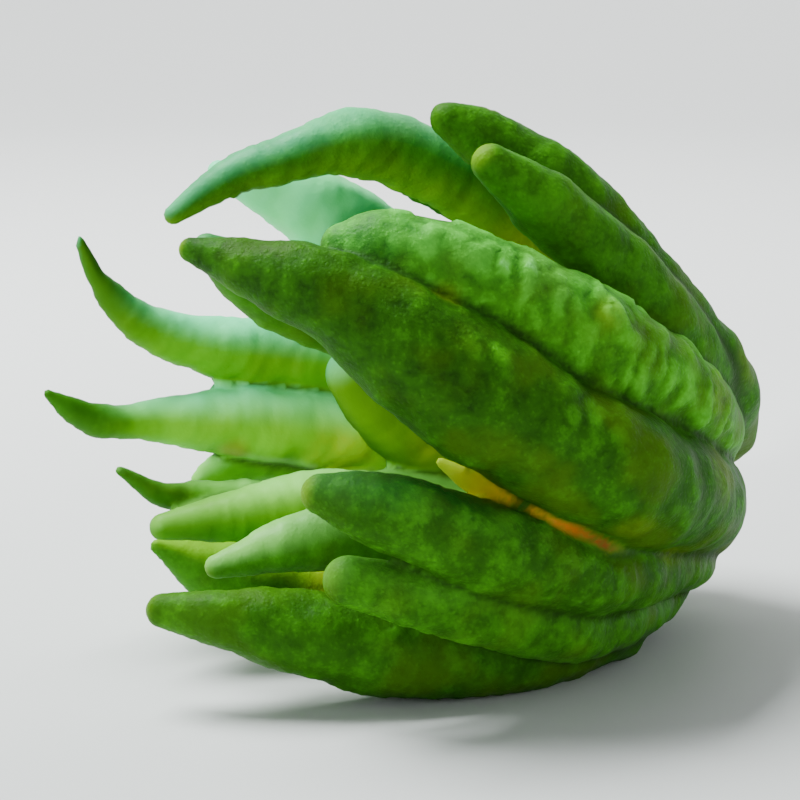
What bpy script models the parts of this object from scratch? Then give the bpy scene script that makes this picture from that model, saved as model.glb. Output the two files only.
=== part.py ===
"""Buddha's hand citron, picked green and lying on its side.

The fruit is one body: tapering fingers that all grow out of one heel beside the
stem, bend over each other and end in curled tips. Each finger is a round tube
that follows a short hand-set route, and one union joins them. The clipped stem
with its calyx button is a second piece, set in a shallow well in the heel.
"""

import bpy
import bmesh
import math
from mathutils import Matrix, Vector, noise

MM = 0.001

# Shared form of the fingers, in millimetres.
ROUTE_STEP = 6.5          # pitch of the rings along a finger
TUBE_SIDES = 10           # facets round a finger
TIP_RINGS = (40, 75)      # degrees up the rounded end of a finger
LUMP_HEIGHT = 0.45        # how far the rind swells and sinks
LUMP_SIZE = 12.0          # spacing of those swellings
SLIVER = 0.005 * MM       # seams of the union closer than this are merged

# The heel, where every finger starts in a ring round the stem.
HEEL = Vector((60, 32, 30))
STEM_AXIS = Vector((0.75, 0.62, -0.2)).normalized()
RING_RADIUS = 9.0
ROOT_RADIUS = 6.5

# The solid heart that the roots sink into.
HEART_CENTRE = (48, 25, 35)
HEART_RADII = (25, 26, 26)

# The clipped stem and the well that its calyx sits in.
WELL_RADIUS = 6.3
WELL_FLARE = 1.5          # how much wider the well's cutter is at its outer end
WELL_HEIGHT = 30.0        # the cutter's height, past the rind
WELL_FLOOR = 5.0          # from the heel point, along the stem axis
STEM_SIDES = 20
STEM_OUTLINE = [          # radius and height above the well's floor
    (0, 0.3), (4.8, 0.3), (6.0, 0.9), (6.0, 1.7), (3.5, 2.4),
    (3.0, 3.6), (2.85, 8.1), (2.4, 8.5), (0, 8.5),
]

FLOOR_BLOCK = 400.0       # side of the block that flattens the underside
SHARP_EDGE = 50           # degrees between faces that shade as an edge

# Routes of the fingers from the heel outward: x, y, z and radius at each stop,
# in millimetres. X runs from the tips to the heel, Y away, Z up.
FINGERS = {
    # the near side, from the crown down to the floor
    "crown_back": [(72, 34, 41, 8), (67, 15, 57, 8), (50, 2, 79, 8), (35, -4, 97, 8),
                   (20, -6, 108, 6.5), (10, -8, 114, 4)],
    "crown_front": [(70, 25, 48, 6.5), (60, 2, 64, 7.5), (45, -10, 83, 8), (30, -19, 97, 7),
                    (18, -24, 107, 4)],
    "upper_near": [(65, 22, 42, 9), (60, -5, 52, 10.5), (40, -28, 70, 11.5), (20, -36, 82, 11),
                   (0, -40, 91, 9), (-11, -40, 93, 4.5)],
    "broad_near": [(63, 20, 26, 12), (58, -10, 36, 12.5), (45, -35, 46, 13), (30, -44, 55, 13),
                   (10, -49, 69, 13), (-10, -50, 83, 9.5), (-25, -48, 89, 6.5), (-40, -45, 93, 2.5)],
    # the low ridge in the crease below the broad finger
    "web": [(45, -32, 30, 2), (35, -41, 37, 2.5), (25, -44, 42, 2.5), (15, -42, 46, 2.5),
            (8, -40, 50, 1)],
    "lower_near": [(62, 12, 17, 6.5), (57, -8, 21, 6.5), (40, -34, 25, 7.5), (20, -48, 34, 9),
                   (-2, -56, 44, 7.5), (-15, -58, 48, 4)],
    "short_near": [(56, 10, 11, 6.5), (48, -10, 11, 6.5), (35, -32, 14, 7), (15, -47, 22, 7),
                   (-10, -55, 30, 5)],
    "floor_near": [(50, 5, 9, 7.5), (40, -14, 8, 8), (20, -30, 9, 9.5), (-5, -38, 12, 10),
                   (-30, -42, 18, 7), (-47, -41, 20, 3.5)],
    # inside the hand
    "inner_tall": [(50, 20, 42, 8), (20, 6, 53, 8.5), (-10, -14, 73, 7.5), (-28, -24, 83, 7),
                   (-38, -30, 91, 3)],
    "inner_upper": [(50, 40, 22, 8), (20, 32, 32, 10), (0, 20, 46, 9.5), (-10, 12, 57, 6)],
    "inner_low": [(46, 3, 19, 6.5), (15, -10, 26, 7.5), (-10, -22, 30, 7), (-25, -28, 29, 5),
                  (-37, -30, 26, 2.5)],
    "inner_floor": [(52, 16, 10, 8), (15, 4, 9, 8.5), (-15, -8, 14, 7), (-36, -12, 19, 7),
                    (-50, -18, 27, 1.5)],
    # the far side, from the crown down to the floor
    "arch": [(65, 38, 48, 9), (50, 26, 70, 11), (25, 18, 91, 9.5), (5, 10, 103, 8),
             (-10, 2, 108, 7), (-22, -5, 106, 5.5), (-35, -9, 102, 4), (-46, -12, 95, 2)],
    "back_top": [(56, 44, 54, 8.5), (48, 44, 70, 8.5), (22, 40, 90, 8.5), (0, 32, 100, 6),
                 (-13, 25, 102, 3)],
    "back_upper": [(58, 50, 44, 8), (38, 54, 60, 8.5), (8, 50, 74, 8.5), (-18, 41, 81, 4)],
    "far_top": [(44, 46, 45, 10), (15, 44, 62, 10), (-5, 38, 79, 10), (-20, 32, 91, 8.5),
                (-39, 25, 99, 2.5)],
    "far_hook": [(55, 46, 40, 9), (20, 44, 47, 9), (-15, 37, 55, 8.5), (-40, 27, 60, 7),
                 (-56, 20, 67, 4.5), (-64, 16, 76, 2.5), (-68, 12, 86, 1)],
    "far_long": [(55, 47, 28, 8.5), (25, 44, 33, 9), (-10, 34, 39, 9), (-35, 25, 44, 8),
                 (-50, 17, 46, 5), (-65, 8, 48, 3.5), (-76, 2, 56, 0.5)],
    "far_small": [(46, 50, 34, 7), (16, 48, 31, 6), (-16, 36, 33, 6), (-31, 30, 34, 5),
                  (-40, 26, 33, 3.5), (-44, 24, 31, 2)],
    "far_low": [(56, 43, 18, 7.5), (20, 36, 23, 7), (-15, 24, 26, 5.5), (-40, 12, 30, 3.5),
                (-51, 4, 33, 2.5), (-59, -1, 39, 1)],
    "far_floor": [(55, 31, 15, 7.5), (20, 20, 23, 9), (-15, 14, 28, 7.5), (-35, 5, 27, 6),
                  (-50, -2, 27, 3)],
    "back_floor": [(56, 42, 20, 8), (42, 40, 11, 8.5), (16, 38, 8, 8.5), (-6, 31, 9, 6.5),
                   (-24, 22, 12, 3)],
    "under": [(54, 28, 12, 8), (40, 20, 8.5, 8.5), (14, 16, 8, 8.5), (-8, 8, 9, 6.5), (-28, 2, 12, 3)],
}

# The point of the routes' frame that becomes the origin: the middle of the
# fruit's footprint.
FOOTPRINT_CENTRE = Vector((1.7, -0.5, 0))

RIND_COLOUR = (0.045, 0.13, 0.012, 1)
STEM_COLOUR = (0.16, 0.13, 0.05, 1)


def clear_scene():
    for item in list(bpy.data.objects):
        bpy.data.objects.remove(item)


def new_collection(name):
    collection = bpy.data.collections.new(name)
    bpy.context.scene.collection.children.link(collection)
    return collection


def new_material(name, colour, roughness):
    material = bpy.data.materials.new(name)
    material.use_nodes = True
    shader = material.node_tree.nodes["Principled BSDF"]
    shader.inputs["Base Color"].default_value = colour
    shader.inputs["Roughness"].default_value = roughness
    return material


def heel_stop(first_stop):
    """Start of a finger on the ring round the stem, on the finger's own side."""
    outward = Vector(first_stop[:3]) - HEEL
    outward -= STEM_AXIS * outward.dot(STEM_AXIS)
    place = HEEL + outward.normalized() * RING_RADIUS
    return (*place, ROOT_RADIUS)


def curve_point(before, start, end, after, t):
    """Point at t on the Catmull-Rom curve from start to end."""
    point = []
    for a, b, c, d in zip(before, start, end, after):
        bend = 2 * a - 5 * b + 4 * c - d
        twist = -a + 3 * b - 3 * c + d
        point.append(0.5 * (2 * b + (c - a) * t + bend * t * t + twist * t ** 3))
    return point


def smooth_route(stops):
    """Evenly stepped points with radii along a smooth curve through the stops."""
    ends = [2 * a - b for a, b in zip(stops[0], stops[1])]
    tail = [2 * a - b for a, b in zip(stops[-1], stops[-2])]
    knots = [ends, *stops, tail]
    route = []
    for i in range(1, len(knots) - 2):
        length = (Vector(knots[i + 1][:3]) - Vector(knots[i][:3])).length
        count = max(1, round(length / ROUTE_STEP))
        for k in range(count):
            route.append(curve_point(*knots[i - 1:i + 3], k / count))
    route.append(list(stops[-1]))
    return route


def rounded_end(route):
    """Rings that close the tip of a finger in a dome."""
    tip = Vector(route[-1][:3])
    radius = route[-1][3]
    heading = (tip - Vector(route[-2][:3])).normalized()
    rings = []
    for angle in map(math.radians, TIP_RINGS):
        place = tip + heading * radius * math.sin(angle)
        rings.append([*place, radius * math.cos(angle)])
    return rings


def tube_object(name, route, collection):
    """A closed round tube along the route, as a mesh with welded caps."""
    curve = bpy.data.curves.new(name, "CURVE")
    curve.dimensions = "3D"
    curve.bevel_depth = MM
    curve.bevel_resolution = TUBE_SIDES // 2 - 2
    curve.use_fill_caps = True
    spline = curve.splines.new("POLY")
    spline.points.add(len(route) - 1)
    for point, (x, y, z, radius) in zip(spline.points, route):
        point.co = (x * MM, y * MM, z * MM, 1)
        point.radius = radius
    guide = bpy.data.objects.new(name + "_route", curve)
    collection.objects.link(guide)
    bpy.context.view_layer.update()
    evaluated = guide.evaluated_get(bpy.context.evaluated_depsgraph_get())
    mesh = bpy.data.meshes.new_from_object(evaluated)
    tube = bpy.data.objects.new(name, mesh)
    tube.matrix_world = guide.matrix_world
    collection.objects.link(tube)
    bpy.data.objects.remove(guide)
    edit = bmesh.new()
    edit.from_mesh(mesh)
    bmesh.ops.remove_doubles(edit, verts=edit.verts, dist=0.01 * MM)
    bmesh.ops.recalc_face_normals(edit, faces=edit.faces)
    edit.to_mesh(mesh)
    edit.free()
    return tube


def swell(item, height, size):
    """Raise and sink the surface by a smooth noise, along its normals."""
    mesh = item.data
    normals = [vertex.normal.copy() for vertex in mesh.vertices]
    for vertex, normal in zip(mesh.vertices, normals):
        wave = noise.noise(vertex.co / (size * MM))
        vertex.co += normal * wave * 2 * height * MM
    mesh.update()


def make_heart(collection):
    """The round solid in the heel that the roots of all fingers sink into."""
    bpy.ops.mesh.primitive_ico_sphere_add(subdivisions=3, radius=MM)
    heart = bpy.context.object
    heart.name = "heart"
    heart.data.transform(Matrix.Diagonal((*HEART_RADII, 1)))
    heart.data.transform(Matrix.Translation(Vector(HEART_CENTRE) * MM))
    for owner in list(heart.users_collection):
        owner.objects.unlink(heart)
    collection.objects.link(heart)
    return heart


def apply_modifiers(item):
    """Replace the object's mesh with its evaluated one."""
    bpy.context.view_layer.update()
    evaluated = item.evaluated_get(bpy.context.evaluated_depsgraph_get())
    mesh = bpy.data.meshes.new_from_object(evaluated)
    item.modifiers.clear()
    item.data = mesh


def fuse(item, collection):
    """Join the collection's objects to the item in one union, and drop them."""
    union = item.modifiers.new("join_fingers", "BOOLEAN")
    union.operation = "UNION"
    union.operand_type = "COLLECTION"
    union.collection = collection
    union.solver = "EXACT"
    apply_modifiers(item)
    for joined in list(collection.objects):
        bpy.data.objects.remove(joined)


def cut(item, cutter):
    """Take the cutter's shape out of the item."""
    difference = item.modifiers.new("cut", "BOOLEAN")
    difference.operation = "DIFFERENCE"
    difference.object = cutter
    difference.solver = "EXACT"
    apply_modifiers(item)


def keep_main_body(item):
    """Fill sealed hollows and drop loose scraps: only the largest shell stays."""
    edit = bmesh.new()
    edit.from_mesh(item.data)
    bmesh.ops.remove_doubles(edit, verts=edit.verts, dist=SLIVER)
    bmesh.ops.dissolve_degenerate(edit, edges=edit.edges, dist=SLIVER)
    bmesh.ops.triangulate(edit, faces=edit.faces)
    shells = []
    seen = set()
    for start in edit.faces:
        if start in seen:
            continue
        seen.add(start)
        shell = [start]
        for face in shell:
            for edge in face.edges:
                neighbours = edge.link_faces if len(edge.link_faces) == 2 else []
                for other in neighbours:
                    if other not in seen:
                        seen.add(other)
                        shell.append(other)
        shells.append(shell)
    shells.sort(key=len, reverse=True)
    for shell in shells[1:]:
        bmesh.ops.delete(edit, geom=shell, context="FACES")
    edit.to_mesh(item.data)
    edit.free()
    print("shells filled or dropped:", [len(shell) for shell in shells[1:]])


def floor_cutter(collection):
    """A block below the surface that the fruit rests on."""
    bpy.ops.mesh.primitive_cube_add(size=FLOOR_BLOCK * MM, location=(0, 0, -FLOOR_BLOCK / 2 * MM))
    cutter = bpy.context.object
    cutter.name = "floor_cutter"
    as_cutter(cutter, collection)
    return cutter


def as_cutter(item, collection):
    for owner in list(item.users_collection):
        owner.objects.unlink(item)
    collection.objects.link(item)
    item.hide_render = True
    item.display_type = "WIRE"


def along_stem(height):
    """Place of a disc of the stem: its centre at that height above the well's floor."""
    centre = HEEL + STEM_AXIS * (WELL_FLOOR + height) - FOOTPRINT_CENTRE
    turn = STEM_AXIS.to_track_quat("Z", "Y").to_matrix().to_4x4()
    return Matrix.Translation(centre * MM) @ turn


def well_cutter(collection):
    """The round well in the heel that the calyx sits in."""
    mesh = bpy.data.meshes.new("well_cutter")
    edit = bmesh.new()
    bmesh.ops.create_cone(edit, cap_ends=True, segments=STEM_SIDES, depth=WELL_HEIGHT * MM,
                          radius1=WELL_RADIUS * MM, radius2=WELL_RADIUS * WELL_FLARE * MM)
    edit.to_mesh(mesh)
    edit.free()
    cutter = bpy.data.objects.new("well_cutter", mesh)
    cutter.matrix_world = along_stem(WELL_HEIGHT / 2)
    collection.objects.link(cutter)
    as_cutter(cutter, collection)
    return cutter


def make_stem(collection, material):
    """Calyx button and clipped stub, turned as one piece."""
    profile = bpy.data.meshes.new("stem")
    points = [(radius * MM, 0, height * MM) for radius, height in reversed(STEM_OUTLINE)]
    edges = [(i, i + 1) for i in range(len(points) - 1)]
    profile.from_pydata(points, edges, [])
    stem = bpy.data.objects.new("stem", profile)
    collection.objects.link(stem)
    turning = stem.modifiers.new("turn", "SCREW")
    turning.steps = STEM_SIDES
    turning.render_steps = STEM_SIDES
    turning.use_merge_vertices = True
    turning.merge_threshold = 0.00001
    apply_modifiers(stem)
    stem.data.materials.append(material)
    stem.matrix_world = along_stem(0)
    return stem


def make_fruit(collection, cutters, material):
    """All fingers fused into one rind, flat where it rests."""
    roots = new_collection("fingers")
    for name, stops in FINGERS.items():
        route = smooth_route([heel_stop(stops[0]), *stops])
        tube = tube_object(name, route + rounded_end(route), roots)
        swell(tube, LUMP_HEIGHT, LUMP_SIZE)
    heart = make_heart(collection)
    fuse(heart, roots)
    bpy.data.collections.remove(roots)
    fruit = heart
    fruit.name = "fruit"
    fruit.data.name = "fruit"
    fruit.data.transform(Matrix.Translation(-FOOTPRINT_CENTRE * MM))
    keep_main_body(fruit)
    cut(fruit, floor_cutter(cutters))
    cut(fruit, well_cutter(cutters))
    keep_main_body(fruit)
    fruit.data.materials.clear()
    fruit.data.materials.append(material)
    fruit.data.shade_smooth()
    fruit.data.set_sharp_from_angle(angle=math.radians(SHARP_EDGE))
    return fruit


def main():
    clear_scene()
    parts = new_collection("buddhas_hand_citron")
    cutters = new_collection("cutters")
    rind = new_material("rind", RIND_COLOUR, 0.4)
    bark = new_material("bark", STEM_COLOUR, 0.8)
    fruit = make_fruit(parts, cutters, rind)
    make_stem(parts, bark)
    corners = [fruit.matrix_world @ Vector(corner) / MM for corner in fruit.bound_box]
    low = [min(corner[axis] for corner in corners) for axis in range(3)]
    high = [max(corner[axis] for corner in corners) for axis in range(3)]
    print("fruit box, mm:", [round(v, 2) for v in low], [round(v, 2) for v in high])
    print("fruit triangles:", sum(len(face.vertices) - 2 for face in fruit.data.polygons))


main()
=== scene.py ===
import math

import bpy
import numpy as np
from mathutils import Matrix, Vector, noise


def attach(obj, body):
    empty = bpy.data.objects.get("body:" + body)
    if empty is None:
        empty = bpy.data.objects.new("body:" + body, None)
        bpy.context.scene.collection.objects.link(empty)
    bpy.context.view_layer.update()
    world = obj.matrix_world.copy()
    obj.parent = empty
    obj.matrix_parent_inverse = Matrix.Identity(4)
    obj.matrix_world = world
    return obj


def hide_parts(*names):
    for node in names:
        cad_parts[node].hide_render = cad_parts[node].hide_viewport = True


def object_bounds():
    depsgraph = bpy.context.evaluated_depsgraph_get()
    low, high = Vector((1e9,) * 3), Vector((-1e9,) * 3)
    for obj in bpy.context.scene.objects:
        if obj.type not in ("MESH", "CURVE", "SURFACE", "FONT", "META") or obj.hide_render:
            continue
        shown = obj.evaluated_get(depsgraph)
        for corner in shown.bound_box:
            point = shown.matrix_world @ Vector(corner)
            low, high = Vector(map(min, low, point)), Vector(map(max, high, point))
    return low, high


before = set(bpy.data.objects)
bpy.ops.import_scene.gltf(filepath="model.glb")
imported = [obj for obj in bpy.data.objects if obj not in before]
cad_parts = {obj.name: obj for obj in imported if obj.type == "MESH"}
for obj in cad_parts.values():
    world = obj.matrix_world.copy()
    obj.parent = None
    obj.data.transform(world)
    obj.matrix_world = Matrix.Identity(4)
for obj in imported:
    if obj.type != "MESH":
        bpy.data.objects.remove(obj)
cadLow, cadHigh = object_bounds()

mm = 0.001

# Fingers of the citron, from the heel outward. Each stop is x, y, z and radius in
# millimetres. tone runs from deep green at 0 to pale at 1, and fade is how much it
# changes towards the tip. knobs is how pebbly the rind is, ripples how strong the folds
# across the finger are, mottle how blotchy its green is, bloom how strong the painted
# sheen (a painted highlight) is on its side that faces the light, frost how strong that
# painted sheen is all round, lime how yellow its palm side, tipSpot how yellow and
# darkTip how green its tip. web is the low ridge of ripening rind in the near crease.
fingers = {
    "crownBack": {"tone": 0.28, "knobs": 0.25, "ripples": 0.3, "mottle": 0.8, "stops": [
        (72, 34, 41, 8), (67, 15, 57, 8), (50, 2, 79, 8), (35, -4, 97, 8), (20, -6, 108, 6.5),
        (10, -8, 114, 4)]},
    "crownFront": {"tone": 0.32, "knobs": 0.2, "ripples": 0.2, "mottle": 0.8, "tipSpot": 1.0, "stops": [
        (70, 25, 48, 6.5), (60, 2, 64, 7.5), (45, -10, 83, 8), (30, -19, 97, 7), (18, -24, 107, 4)]},
    "upperNear": {"tone": 0.43, "fade": 0.06, "knobs": 1.0, "ripples": 0.15, "paintedSheen": 0.07, "stops": [
        (65, 22, 42, 9), (60, -5, 52, 10.5), (40, -28, 70, 11.5), (20, -36, 82, 11),
        (0, -40, 91, 9), (-11, -40, 93, 4.5)]},
    # broadNear's negative fade darkens its tip half, painted shade where the window light falls on it
    "broadNear": {"tone": 0.27, "fade": -0.13, "knobs": 0.3, "ripples": 0.1, "paintedSheen": 0.0,
        "tipSpot": 1.0, "stops": [
        (63, 20, 26, 12), (58, -10, 36, 12.5), (45, -35, 46, 13), (30, -44, 55, 13),
        (10, -49, 69, 13), (-10, -50, 83, 9.5), (-25, -48, 89, 6.5), (-40, -45, 93, 2.5)]},
    "web": {"tone": 0.9, "knobs": 0.0, "ripples": 0.0, "mottle": 0.2, "stops": [
        (45, -32, 30, 2), (35, -41, 37, 2.5), (25, -44, 42, 2.5), (15, -42, 46, 2.5),
        (8, -40, 50, 1)]},
    "lowerNear": {"tone": 0.3, "fade": -0.05, "knobs": 0.35, "ripples": 0.5, "paintedSheen": 0.06,
        "tipSpot": 1.0, "stops": [
        (62, 12, 17, 6.5), (57, -8, 21, 6.5), (40, -34, 25, 7.5), (20, -48, 34, 9),
        (-2, -56, 44, 7.5), (-15, -58, 48, 4)]},
    "shortNear": {"tone": 0.34, "knobs": 0.3, "ripples": 0.3, "paintedSheen": 0.12, "tipSpot": 0.4, "stops": [
        (56, 10, 11, 6.5), (48, -10, 11, 6.5), (35, -32, 14, 7), (15, -47, 22, 7),
        (-10, -55, 30, 5)]},
    "floorNear": {"tone": 0.27, "fade": -0.03, "knobs": 0.4, "ripples": 0.4, "mottle": 0.8,
        "tipSpot": 0.4, "stops": [
        (50, 5, 9, 7.5), (40, -14, 8, 8), (20, -30, 9, 9.5), (-5, -38, 12, 10), (-30, -42, 18, 7),
        (-47, -41, 20, 3.5)]},
    "innerTall": {"tone": 0.27, "knobs": 0.2, "ripples": 0.3, "paintedSheen": 0.2, "mottle": 0.4, "stops": [
        (50, 20, 42, 8), (20, 6, 53, 8.5), (-10, -14, 73, 7.5), (-28, -24, 83, 7),
        (-38, -30, 91, 3)]},
    "innerUpper": {"tone": 0.22, "knobs": 0.1, "ripples": 0.2, "paintedSheen": 0.3, "mottle": 0.3,
        "lime": 0.6, "stops": [
        (50, 40, 22, 8), (20, 32, 32, 10), (0, 20, 46, 9.5), (-10, 12, 57, 6)]},
    "innerLow": {"tone": 0.36, "knobs": 0.3, "ripples": 0.2, "paintedSheen": 0.6, "mottle": 0.5,
        "tipSpot": 0.5, "lime": 0.4, "stops": [
        (46, 3, 19, 6.5), (15, -10, 26, 7.5), (-10, -22, 30, 7), (-25, -28, 29, 5),
        (-37, -30, 26, 2.5)]},
    "innerFloor": {"tone": 0.3, "knobs": 0.2, "ripples": 0.3, "mottle": 0.4, "lime": 0.9, "stops": [
        (52, 16, 10, 8), (15, 4, 9, 8.5), (-15, -8, 14, 7), (-36, -12, 19, 7), (-50, -18, 27, 1.5)]},
    "arch": {"tone": 0.4, "darkTip": 0.35, "knobs": 0.3, "ripples": 0.6, "paintedSheen": 0.5,
        "mottle": 0.6, "lime": 0.6, "stops": [
        (65, 38, 48, 9), (50, 26, 70, 11), (25, 18, 91, 9.5), (5, 10, 103, 8), (-10, 2, 108, 7),
        (-22, -5, 106, 5.5), (-35, -9, 102, 4), (-46, -12, 95, 2)]},
    "backTop": {"tone": 0.3, "knobs": 0.35, "ripples": 0.5, "mottle": 0.8, "stops": [
        (56, 44, 54, 8.5), (48, 44, 70, 8.5), (22, 40, 90, 8.5), (0, 32, 100, 6), (-13, 25, 102, 3)]},
    "backUpper": {"tone": 0.3, "knobs": 0.4, "ripples": 0.5, "mottle": 0.8, "stops": [
        (58, 50, 44, 8), (38, 54, 60, 8.5), (8, 50, 74, 8.5), (-18, 41, 81, 4)]},
    "farTop": {"tone": 0.85, "knobs": 0.15, "ripples": 0.3, "paintedSheen": 1.0, "paintedSheenAllRound": 0.62,
        "mottle": 0.2, "stops": [
        (44, 46, 45, 10), (15, 44, 62, 10), (-5, 38, 79, 10), (-20, 32, 91, 8.5),
        (-39, 25, 99, 2.5)]},
    "farHook": {"tone": 0.5, "knobs": 0.15, "ripples": 0.45, "paintedSheen": 1.0, "mottle": 0.2,
        "lime": 0.3, "darkTip": 0.6, "stops": [
        (55, 46, 40, 9), (20, 44, 47, 9), (-15, 37, 55, 8.5), (-40, 27, 60, 7), (-56, 20, 67, 4.5),
        (-64, 16, 76, 2.5), (-68, 12, 86, 1)]},
    "farLong": {"tone": 0.74, "knobs": 0.15, "ripples": 0.35, "paintedSheen": 1.0, "mottle": 0.2,
        "lime": 0.9, "darkTip": 1.0, "stops": [
        (55, 47, 28, 8.5), (25, 44, 33, 9), (-10, 34, 39, 9), (-35, 25, 44, 8), (-50, 17, 46, 5),
        (-65, 8, 48, 3.5), (-76, 2, 56, 0.5)]},
    "farSmall": {"tone": 0.5, "knobs": 0.2, "ripples": 0.5, "paintedSheen": 0.6, "mottle": 0.2, "stops": [
        (46, 50, 34, 7), (16, 48, 31, 6), (-16, 36, 33, 6), (-31, 30, 34, 5), (-40, 26, 33, 3.5),
        (-44, 24, 31, 2)]},
    "farLow": {"tone": 0.62, "knobs": 0.15, "ripples": 0.5, "paintedSheen": 0.9, "mottle": 0.2,
        "lime": 0.5, "darkTip": 0.8, "stops": [
        (56, 43, 18, 7.5), (20, 36, 23, 7), (-15, 24, 26, 5.5), (-40, 12, 30, 3.5),
        (-51, 4, 33, 2.5), (-59, -1, 39, 1)]},
    "farFloor": {"tone": 0.64, "knobs": 0.2, "ripples": 0.5, "paintedSheen": 0.7, "mottle": 0.2,
        "lime": 0.9, "darkTip": 0.6, "stops": [
        (55, 31, 15, 7.5), (20, 20, 23, 9), (-15, 14, 28, 7.5), (-35, 5, 27, 6), (-50, -2, 27, 3)]},
    "backFloor": {"tone": 0.32, "knobs": 0.35, "ripples": 0.5, "mottle": 0.8, "stops": [
        (56, 42, 20, 8), (42, 40, 11, 8.5), (16, 38, 8, 8.5), (-6, 31, 9, 6.5), (-24, 22, 12, 3)]},
    "under": {"tone": 0.32, "knobs": 0.3, "ripples": 0.4, "mottle": 0.8, "stops": [
        (54, 28, 12, 8), (40, 20, 8.5, 8.5), (14, 16, 8, 8.5), (-8, 8, 9, 6.5), (-28, 2, 12, 3)]},
}

heel = {
    "place": Vector((60, 32, 30)),                        # where the fingers meet
    "axis": Vector((0.75, 0.62, -0.2)).normalized(),      # the way the stalk points
    "ring": 9.0,
    "rootRadius": 6.5,
    "heart": (48, 25, 35),
    "heartRadii": (25, 26, 26),
    "footprint": Vector((1.7, -0.5, 0)),                  # this point is the origin
}

stalk = {
    "wellFloor": 5.0,       # mm from the heel's middle, along the stalk
    "wellRadius": 6.3,
    "wellDeep": 6,
    "sides": 60,
    "foot": (4.8, 0.3),     # radius and height above the well's floor, in mm
    "rings": [              # the same up the calyx, the stub and the cut
        (5.7, 0.7), (5.95, 1.1), (5.8, 1.6), (4.9, 2.1), (3.6, 2.35), (3.05, 3.0), (2.85, 4.0),
        (2.75, 6.0), (2.80, 7.8), (2.65, 8.35), (2.35, 8.45), (2.05, 8.3), (1.95, 8.0), (0.8, 7.9)],
    "lobes": 5,
    "notch": 0.16,          # share of the calyx's radius between its lobes
    "lobeDrop": 0.5,        # mm that the calyx sinks between its lobes
    "lobeRise": (1.2, 2.2),         # mm up between which it sinks
    "ribs": 11,
    "rib": 0.035,           # share of the stub's radius
    "calyxSide": (3.2, 4.6),        # mm out, and up, between which each part fades
    "calyxTop": (2.3, 2.8),
    "stubFoot": (2.6, 3.4),
    "stubSide": (2.2, 2.6),
    "cutTop": (7.6, 7.9),
    "cutSide": (1.95, 2.45),
}

skin = {
    "ringPitch": 2.5,       # mm between the rings of a finger
    "sides": 24,
    "voxel": 1.17 * mm,     # size of the faces after the fingers are merged
    "blend": 0.70,          # mm, how softly two fingers meet
    "swell": 0.40,          # mm, slow swellings
    "swellSize": 13.0,
    "lump": 0.30,           # mm, lumps the size of a pea
    "lumpSize": 6.0,
    "knob": 0.75,           # mm, crumpled bumps where a finger has knobs
    "knobLong": 4.2,        # mm along the finger
    "knobWide": 7.0,        # mm across it
    "ripple": 0.22,         # mm, folds across a finger
    "ripplePitch": 4.6,
    "furrow": 0.45,         # mm, the seam between two fingers
    "furrowWidth": 1.3,
    "usual": {"tone": 0.3, "fade": 0.0, "knobs": 0.3, "ripples": 0.3, "mottle": 1.0, "paintedSheen": 0.0,
              "paintedSheenAllRound": 0.0, "lime": 0.1, "tipSpot": 0.1, "darkTip": 0.0},
    "tipReach": 8.0,        # mm of a finger that are drawn out into its tip
    "edgeRoom": 2.0,        # mm inside the frame's box where the rind eases off
    "searchRoom": 22,       # mm round a finger within which points are measured
    "farAway": 40.0,        # mm that stand for every place further off
    "evenShare": 0.5,       # how strongly the points are evened out, and how often
    "evenRounds": 2,
    "mixWidth": 2.5,        # mm beside a seam where two fingers share their habits
    "seamDepth": (1, 4),    # mm from the second finger between which a seam fades
    "slimTip": (1, 14),     # mm from the tip between which the relief grows
    "knobLevel": 0.45,      # height of the folds that leaves the skin where it is
    "bendSize": 7.0,        # mm, how the knobs wander
    "bend": (0.5, 0.3, -0.3),
    "swaySize": 9.0,        # mm, how the folds across a finger wander
    "sway": 1.2,
    "crease": (0.4, 1.6),   # mm between two fingers where the crease is evened out
    "creaseDepth": (1, 3),
    "creaseShare": 0.6,
    "creaseRounds": 4,
    "palmStart": Vector((28, 0, 44)),
    "palmEnd": Vector((-60, -10, 56)),
    # the way the window light falls from; rind facing it gets the painted sheen, a painted highlight
    "lightWay": Vector((-0.45, -0.28, 0.85)),
    "outerTone": 0.34,      # the palest a far finger is on its outer side
    "innerSide": (-0.15, 0.75),     # how far the rind faces the palm, from none to fully
    "outerSide": (-0.2, 0.5),       # and how far it faces away from the palm
    "farSide": (0.05, 0.55),        # and the far side
    "lightFacing": (0.1, 0.95),
    "darkEnd": (0.76, 0.92),        # share of a finger between which its dark tip begins
    "darkDrop": 0.5,
    "tipCap": (0.3, 1.1),           # tip radii between which the yellow spot grows
    "ridgeStart": (0.5, 0.66),      # share of the web between which its colour begins
    "ridgeOpen": (0.62, 0.8),       # and spreads wider towards the open end
    "ridgeReach": (0.5, 2.0),       # mm of colour at the start, and how much is added
    "calmRoot": (12, 55),   # mm from the heel between which the knobs and folds grow
}

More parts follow.
